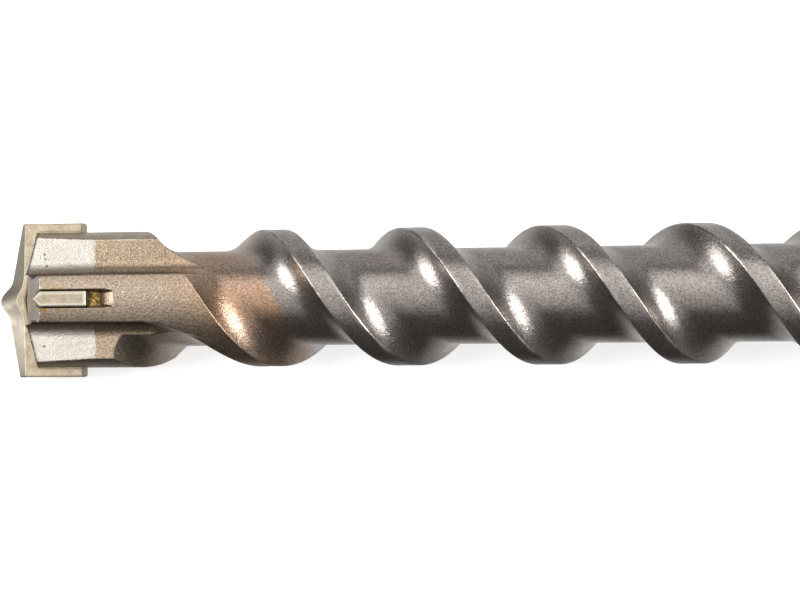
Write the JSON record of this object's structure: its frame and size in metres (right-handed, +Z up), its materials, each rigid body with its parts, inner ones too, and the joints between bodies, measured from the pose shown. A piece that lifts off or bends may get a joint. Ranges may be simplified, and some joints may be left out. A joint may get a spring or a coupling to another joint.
{
  "type": "masonry hammer drill bit",
  "caption": "Masonry hammer drill bit: cross-shaped steel head with a full-width carbide plate and side inserts, helical flutes and a keyed round shank.",
  "frame": {"origin": "centre of the flat strike face at the rear of the shank, on the bit's axis", "axes": "+X along the axis, out of the shank; the tip is at -X; +Z up, with the bit lying on its lands as it comes to rest"},
  "size_m": [0.32, 0.0284, 0.0284],
  "materials": {
    "steel": "hardened, shot-blasted and slightly heat-tinted",
    "carbide": "sintered carbide, fine grain",
    "braze": "brazing alloy, dull"
  },
  "bodies": {
    "root": {"drill_body": "steel", "main_plate": "carbide", "plate_braze": "braze", "side_insert_front": "carbide", "side_insert_rear": "carbide", "insert_braze_front": "braze", "insert_braze_rear": "braze"}
  },
  "joints": []
}
